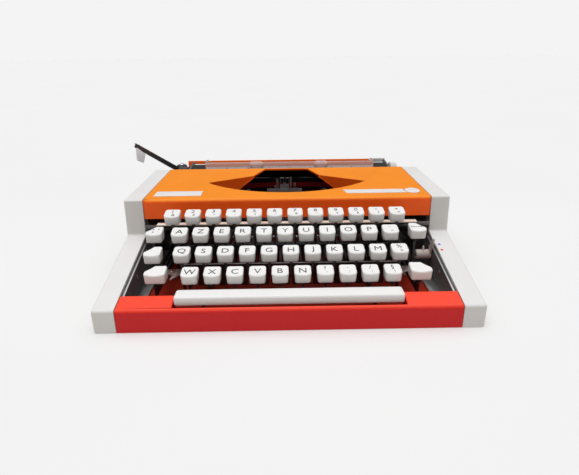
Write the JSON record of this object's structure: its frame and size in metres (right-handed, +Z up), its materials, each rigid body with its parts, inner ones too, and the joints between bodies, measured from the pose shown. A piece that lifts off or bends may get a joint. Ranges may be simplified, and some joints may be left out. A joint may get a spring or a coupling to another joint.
{
  "type": "portable typewriter",
  "caption": "Low manual typewriter with a red base, orange ribbon cover, white side panels, four rows of keys, space bar and sliding carriage.",
  "frame": {"origin": "on the desk, under the middle of the body's front face", "axes": "+X to the right as the typist sees it, +Y from the front to the back, +Z up"},
  "size_m": [0.3346, 0.305, 0.1096],
  "materials": {
    "red_plastic": "satin",
    "white_plastic": "satin",
    "orange_plastic": "satin",
    "dark_steel": "semi-matt",
    "bright_steel": "plated",
    "black_rubber": "matt",
    "grey_metal": "semi-matt",
    "key_plastic": "satin"
  },
  "bodies": {
    "machine": {"base_shell": "red_plastic", "side_panels": "white_plastic", "frame": "dark_steel"},
    "ribbon_cover": {"ribbon_cover": "orange_plastic"},
    "type_basket": {"type_basket": "bright_steel"},
    "carriage": {"carriage": "dark_steel"},
    "platen": {"platen": "black_rubber"},
    "paper_bail": {"paper_bail": "bright_steel"},
    "return_lever": {"return_lever": "grey_metal"},
    "paper_release_lever": {"paper_release_lever": "white_plastic"},
    "ribbon_selector": {"ribbon_selector": "grey_metal"},
    "space_bar": {"space_bar": "key_plastic"},
    "shift_keys": {"shift_keys": "key_plastic"},
    "shift_lock_key": {"shift_lock_key": "key_plastic"},
    "margin_release_key": {"margin_release_key": "key_plastic"},
    "backspace_key": {"backspace_key": "key_plastic"},
    "key_w": {"key_w": "key_plastic"},
    "key_x": {"key_x": "key_plastic"},
    "key_c": {"key_c": "key_plastic"},
    "key_v": {"key_v": "key_plastic"},
    "key_b": {"key_b": "key_plastic"},
    "key_n": {"key_n": "key_plastic"},
    "key_comma": {"key_comma": "key_plastic"},
    "key_semicolon": {"key_semicolon": "key_plastic"},
    "key_colon": {"key_colon": "key_plastic"},
    "key_section": {"key_section": "key_plastic"},
    "key_q": {"key_q": "key_plastic"},
    "key_s": {"key_s": "key_plastic"},
    "key_d": {"key_d": "key_plastic"},
    "key_f": {"key_f": "key_plastic"},
    "key_g": {"key_g": "key_plastic"},
    "key_h": {"key_h": "key_plastic"},
    "key_j": {"key_j": "key_plastic"},
    "key_k": {"key_k": "key_plastic"},
    "key_l": {"key_l": "key_plastic"},
    "key_m": {"key_m": "key_plastic"},
    "key_percent": {"key_percent": "key_plastic"},
    "key_a": {"key_a": "key_plastic"},
    "key_z": {"key_z": "key_plastic"},
    "key_e": {"key_e": "key_plastic"},
    "key_r": {"key_r": "key_plastic"},
    "key_t": {"key_t": "key_plastic"},
    "key_y": {"key_y": "key_plastic"},
    "key_u": {"key_u": "key_plastic"},
    "key_i": {"key_i": "key_plastic"},
    "key_o": {"key_o": "key_plastic"},
    "key_p": {"key_p": "key_plastic"},
    "key_circumflex": {"key_circumflex": "key_plastic"},
    "key_1": {"key_1": "key_plastic"},
    "key_2": {"key_2": "key_plastic"},
    "key_3": {"key_3": "key_plastic"},
    "key_4": {"key_4": "key_plastic"},
    "key_5": {"key_5": "key_plastic"},
    "key_6": {"key_6": "key_plastic"},
    "key_7": {"key_7": "key_plastic"},
    "key_8": {"key_8": "key_plastic"},
    "key_9": {"key_9": "key_plastic"},
    "key_0": {"key_0": "key_plastic"},
    "key_degree": {"key_degree": "key_plastic"},
    "key_equals": {"key_equals": "key_plastic"}
  },
  "joints": [
    {"name": "carriage_travel", "type": "slide", "parent": "machine", "child": "carriage", "axis": [1, 0, 0], "range_m": [-0.105, 0.105]},
    {"name": "carriage_platen_turn", "type": "hinge", "parent": "carriage", "child": "platen", "pos_m": [0.004, 0.262, 0.0615], "axis": [1, 0, 0], "continuous": true},
    {"name": "carriage_return_swing", "type": "hinge", "parent": "carriage", "child": "return_lever", "pos_m": [-0.134, 0.283, 0.0655], "axis": [0, 0, 1], "range_deg": [0, 30], "stiffness_Nm_per_rad": 0.3, "springref_deg": -8.59},
    {"name": "carriage_bail_lift", "type": "hinge", "parent": "carriage", "child": "paper_bail", "pos_m": [0.004, 0.283, 0.072], "axis": [1, 0, 0], "range_deg": [-70, 0]},
    {"name": "carriage_paper_release", "type": "hinge", "parent": "carriage", "child": "paper_release_lever", "pos_m": [0.129, 0.288, 0.0585], "axis": [1, 0, 0], "range_deg": [-20, 0]},
    {"name": "bar_press", "type": "hinge", "parent": "machine", "child": "space_bar", "pos_m": [0, 0.15, 0.0145], "axis": [1, 0, 0], "range_deg": [0, 2.72], "stiffness_Nm_per_rad": 1, "springref_deg": -2.86},
    {"name": "capitals_shift", "type": "hinge", "parent": "machine", "child": "shift_keys", "pos_m": [0, 0.178, 0.0195], "axis": [1, 0, 0], "range_deg": [0, 4.35], "stiffness_Nm_per_rad": 2.5, "springref_deg": -4.58},
    {"name": "basket_shift", "type": "slide", "parent": "machine", "child": "type_basket", "axis": [0, 0, 1], "range_m": [-0.006, 0]},
    {"name": "capitals_lock", "type": "hinge", "parent": "machine", "child": "shift_lock_key", "pos_m": [0, 0.178, 0.0195], "axis": [1, 0, 0], "range_deg": [0, 4.93], "stiffness_Nm_per_rad": 1, "springref_deg": -2.86},
    {"name": "clear_margin", "type": "hinge", "parent": "machine", "child": "margin_release_key", "pos_m": [0, 0.178, 0.0195], "axis": [1, 0, 0], "range_deg": [0, 5.93], "stiffness_Nm_per_rad": 1, "springref_deg": -2.86},
    {"name": "backspace_press", "type": "hinge", "parent": "machine", "child": "backspace_key", "pos_m": [0, 0.178, 0.0195], "axis": [1, 0, 0], "range_deg": [0, 5.99], "stiffness_Nm_per_rad": 1, "springref_deg": -2.86},
    {"name": "colour_select", "type": "hinge", "parent": "machine", "child": "ribbon_selector", "pos_m": [0.134, 0.09, 0.026], "axis": [1, 0, 0], "range_deg": [0, 25]},
    {"name": "cover_lift", "type": "slide", "parent": "machine", "child": "ribbon_cover", "axis": [0, 0, 1], "range_m": [0, 0.05]},
    {"name": "key_w_press", "type": "hinge", "parent": "machine", "child": "key_w", "pos_m": [0, 0.195, 0.027], "axis": [1, 0, 0], "range_deg": [0, 3.84], "stiffness_Nm_per_rad": 1, "springref_deg": -2.86},
    {"name": "key_x_press", "type": "hinge", "parent": "machine", "child": "key_x", "pos_m": [0, 0.195, 0.027], "axis": [1, 0, 0], "range_deg": [0, 3.84], "stiffness_Nm_per_rad": 1, "springref_deg": -2.86},
    {"name": "key_c_press", "type": "hinge", "parent": "machine", "child": "key_c", "pos_m": [0, 0.195, 0.027], "axis": [1, 0, 0], "range_deg": [0, 3.84], "stiffness_Nm_per_rad": 1, "springref_deg": -2.86},
    {"name": "key_v_press", "type": "hinge", "parent": "machine", "child": "key_v", "pos_m": [0, 0.195, 0.027], "axis": [1, 0, 0], "range_deg": [0, 3.84], "stiffness_Nm_per_rad": 1, "springref_deg": -2.86},
    {"name": "key_b_press", "type": "hinge", "parent": "machine", "child": "key_b", "pos_m": [0, 0.195, 0.027], "axis": [1, 0, 0], "range_deg": [0, 3.84], "stiffness_Nm_per_rad": 1, "springref_deg": -2.86},
    {"name": "key_n_press", "type": "hinge", "parent": "machine", "child": "key_n", "pos_m": [0, 0.195, 0.027], "axis": [1, 0, 0], "range_deg": [0, 3.84], "stiffness_Nm_per_rad": 1, "springref_deg": -2.86},
    {"name": "key_comma_press", "type": "hinge", "parent": "machine", "child": "key_comma", "pos_m": [0, 0.195, 0.027], "axis": [1, 0, 0], "range_deg": [0, 3.84], "stiffness_Nm_per_rad": 1, "springref_deg": -2.86},
    {"name": "key_semicolon_press", "type": "hinge", "parent": "machine", "child": "key_semicolon", "pos_m": [0, 0.195, 0.027], "axis": [1, 0, 0], "range_deg": [0, 3.84], "stiffness_Nm_per_rad": 1, "springref_deg": -2.86},
    {"name": "key_colon_press", "type": "hinge", "parent": "machine", "child": "key_colon", "pos_m": [0, 0.195, 0.027], "axis": [1, 0, 0], "range_deg": [0, 3.84], "stiffness_Nm_per_rad": 1, "springref_deg": -2.86},
    {"name": "key_section_press", "type": "hinge", "parent": "machine", "child": "key_section", "pos_m": [0, 0.195, 0.027], "axis": [1, 0, 0], "range_deg": [0, 3.84], "stiffness_Nm_per_rad": 1, "springref_deg": -2.86},
    {"name": "key_q_press", "type": "hinge", "parent": "machine", "child": "key_q", "pos_m": [0, 0.195, 0.027], "axis": [1, 0, 0], "range_deg": [0, 4.35], "stiffness_Nm_per_rad": 1, "springref_deg": -2.86},
    {"name": "key_s_press", "type": "hinge", "parent": "machine", "child": "key_s", "pos_m": [0, 0.195, 0.027], "axis": [1, 0, 0], "range_deg": [0, 4.35], "stiffness_Nm_per_rad": 1, "springref_deg": -2.86},
    {"name": "key_d_press", "type": "hinge", "parent": "machine", "child": "key_d", "pos_m": [0, 0.195, 0.027], "axis": [1, 0, 0], "range_deg": [0, 4.35], "stiffness_Nm_per_rad": 1, "springref_deg": -2.86},
    {"name": "key_f_press", "type": "hinge", "parent": "machine", "child": "key_f", "pos_m": [0, 0.195, 0.027], "axis": [1, 0, 0], "range_deg": [0, 4.35], "stiffness_Nm_per_rad": 1, "springref_deg": -2.86},
    {"name": "key_g_press", "type": "hinge", "parent": "machine", "child": "key_g", "pos_m": [0, 0.195, 0.027], "axis": [1, 0, 0], "range_deg": [0, 4.35], "stiffness_Nm_per_rad": 1, "springref_deg": -2.86},
    {"name": "key_h_press", "type": "hinge", "parent": "machine", "child": "key_h", "pos_m": [0, 0.195, 0.027], "axis": [1, 0, 0], "range_deg": [0, 4.35], "stiffness_Nm_per_rad": 1, "springref_deg": -2.86},
    {"name": "key_j_press", "type": "hinge", "parent": "machine", "child": "key_j", "pos_m": [0, 0.195, 0.027], "axis": [1, 0, 0], "range_deg": [0, 4.35], "stiffness_Nm_per_rad": 1, "springref_deg": -2.86},
    {"name": "key_k_press", "type": "hinge", "parent": "machine", "child": "key_k", "pos_m": [0, 0.195, 0.027], "axis": [1, 0, 0], "range_deg": [0, 4.35], "stiffness_Nm_per_rad": 1, "springref_deg": -2.86},
    {"name": "key_l_press", "type": "hinge", "parent": "machine", "child": "key_l", "pos_m": [0, 0.195, 0.027], "axis": [1, 0, 0], "range_deg": [0, 4.35], "stiffness_Nm_per_rad": 1, "springref_deg": -2.86},
    {"name": "key_m_press", "type": "hinge", "parent": "machine", "child": "key_m", "pos_m": [0, 0.195, 0.027], "axis": [1, 0, 0], "range_deg": [0, 4.35], "stiffness_Nm_per_rad": 1, "springref_deg": -2.86},
    {"name": "key_percent_press", "type": "hinge", "parent": "machine", "child": "key_percent", "pos_m": [0, 0.195, 0.027], "axis": [1, 0, 0], "range_deg": [0, 4.35], "stiffness_Nm_per_rad": 1, "springref_deg": -2.86},
    {"name": "key_a_press", "type": "hinge", "parent": "machine", "child": "key_a", "pos_m": [0, 0.195, 0.027], "axis": [1, 0, 0], "range_deg": [0, 5.03], "stiffness_Nm_per_rad": 1, "springref_deg": -2.86},
    {"name": "key_z_press", "type": "hinge", "parent": "machine", "child": "key_z", "pos_m": [0, 0.195, 0.027], "axis": [1, 0, 0], "range_deg": [0, 5.03], "stiffness_Nm_per_rad": 1, "springref_deg": -2.86},
    {"name": "key_e_press", "type": "hinge", "parent": "machine", "child": "key_e", "pos_m": [0, 0.195, 0.027], "axis": [1, 0, 0], "range_deg": [0, 5.03], "stiffness_Nm_per_rad": 1, "springref_deg": -2.86},
    {"name": "key_r_press", "type": "hinge", "parent": "machine", "child": "key_r", "pos_m": [0, 0.195, 0.027], "axis": [1, 0, 0], "range_deg": [0, 5.03], "stiffness_Nm_per_rad": 1, "springref_deg": -2.86},
    {"name": "key_t_press", "type": "hinge", "parent": "machine", "child": "key_t", "pos_m": [0, 0.195, 0.027], "axis": [1, 0, 0], "range_deg": [0, 5.03], "stiffness_Nm_per_rad": 1, "springref_deg": -2.86},
    {"name": "key_y_press", "type": "hinge", "parent": "machine", "child": "key_y", "pos_m": [0, 0.195, 0.027], "axis": [1, 0, 0], "range_deg": [0, 5.03], "stiffness_Nm_per_rad": 1, "springref_deg": -2.86},
    {"name": "key_u_press", "type": "hinge", "parent": "machine", "child": "key_u", "pos_m": [0, 0.195, 0.027], "axis": [1, 0, 0], "range_deg": [0, 5.03], "stiffness_Nm_per_rad": 1, "springref_deg": -2.86},
    {"name": "key_i_press", "type": "hinge", "parent": "machine", "child": "key_i", "pos_m": [0, 0.195, 0.027], "axis": [1, 0, 0], "range_deg": [0, 5.03], "stiffness_Nm_per_rad": 1, "springref_deg": -2.86},
    {"name": "key_o_press", "type": "hinge", "parent": "machine", "child": "key_o", "pos_m": [0, 0.195, 0.027], "axis": [1, 0, 0], "range_deg": [0, 5.03], "stiffness_Nm_per_rad": 1, "springref_deg": -2.86},
    {"name": "key_p_press", "type": "hinge", "parent": "machine", "child": "key_p", "pos_m": [0, 0.195, 0.027], "axis": [1, 0, 0], "range_deg": [0, 5.03], "stiffness_Nm_per_rad": 1, "springref_deg": -2.86},
    {"name": "key_circumflex_press", "type": "hinge", "parent": "machine", "child": "key_circumflex", "pos_m": [0, 0.195, 0.027], "axis": [1, 0, 0], "range_deg": [0, 5.03], "stiffness_Nm_per_rad": 1, "springref_deg": -2.86},
    {"name": "key_1_press", "type": "hinge", "parent": "machine", "child": "key_1", "pos_m": [0, 0.195, 0.027], "axis": [1, 0, 0], "range_deg": [0, 5.96], "stiffness_Nm_per_rad": 1, "springref_deg": -2.86},
    {"name": "key_2_press", "type": "hinge", "parent": "machine", "child": "key_2", "pos_m": [0, 0.195, 0.027], "axis": [1, 0, 0], "range_deg": [0, 5.96], "stiffness_Nm_per_rad": 1, "springref_deg": -2.86},
    {"name": "key_3_press", "type": "hinge", "parent": "machine", "child": "key_3", "pos_m": [0, 0.195, 0.027], "axis": [1, 0, 0], "range_deg": [0, 5.96], "stiffness_Nm_per_rad": 1, "springref_deg": -2.86},
    {"name": "key_4_press", "type": "hinge", "parent": "machine", "child": "key_4", "pos_m": [0, 0.195, 0.027], "axis": [1, 0, 0], "range_deg": [0, 5.96], "stiffness_Nm_per_rad": 1, "springref_deg": -2.86},
    {"name": "key_5_press", "type": "hinge", "parent": "machine", "child": "key_5", "pos_m": [0, 0.195, 0.027], "axis": [1, 0, 0], "range_deg": [0, 5.96], "stiffness_Nm_per_rad": 1, "springref_deg": -2.86},
    {"name": "key_6_press", "type": "hinge", "parent": "machine", "child": "key_6", "pos_m": [0, 0.195, 0.027], "axis": [1, 0, 0], "range_deg": [0, 5.96], "stiffness_Nm_per_rad": 1, "springref_deg": -2.86},
    {"name": "key_7_press", "type": "hinge", "parent": "machine", "child": "key_7", "pos_m": [0, 0.195, 0.027], "axis": [1, 0, 0], "range_deg": [0, 5.96], "stiffness_Nm_per_rad": 1, "springref_deg": -2.86},
    {"name": "key_8_press", "type": "hinge", "parent": "machine", "child": "key_8", "pos_m": [0, 0.195, 0.027], "axis": [1, 0, 0], "range_deg": [0, 5.96], "stiffness_Nm_per_rad": 1, "springref_deg": -2.86},
    {"name": "key_9_press", "type": "hinge", "parent": "machine", "child": "key_9", "pos_m": [0, 0.195, 0.027], "axis": [1, 0, 0], "range_deg": [0, 5.96], "stiffness_Nm_per_rad": 1, "springref_deg": -2.86},
    {"name": "key_0_press", "type": "hinge", "parent": "machine", "child": "key_0", "pos_m": [0, 0.195, 0.027], "axis": [1, 0, 0], "range_deg": [0, 5.96], "stiffness_Nm_per_rad": 1, "springref_deg": -2.86},
    {"name": "key_degree_press", "type": "hinge", "parent": "machine", "child": "key_degree", "pos_m": [0, 0.195, 0.027], "axis": [1, 0, 0], "range_deg": [0, 5.96], "stiffness_Nm_per_rad": 1, "springref_deg": -2.86},
    {"name": "key_equals_press", "type": "hinge", "parent": "machine", "child": "key_equals", "pos_m": [0, 0.195, 0.027], "axis": [1, 0, 0], "range_deg": [0, 5.96], "stiffness_Nm_per_rad": 1, "springref_deg": -2.86}
  ],
  "couplings": [
    {"joint": "basket_shift", "follows": "capitals_shift", "m_per_rad": -0.0789}
  ]
}
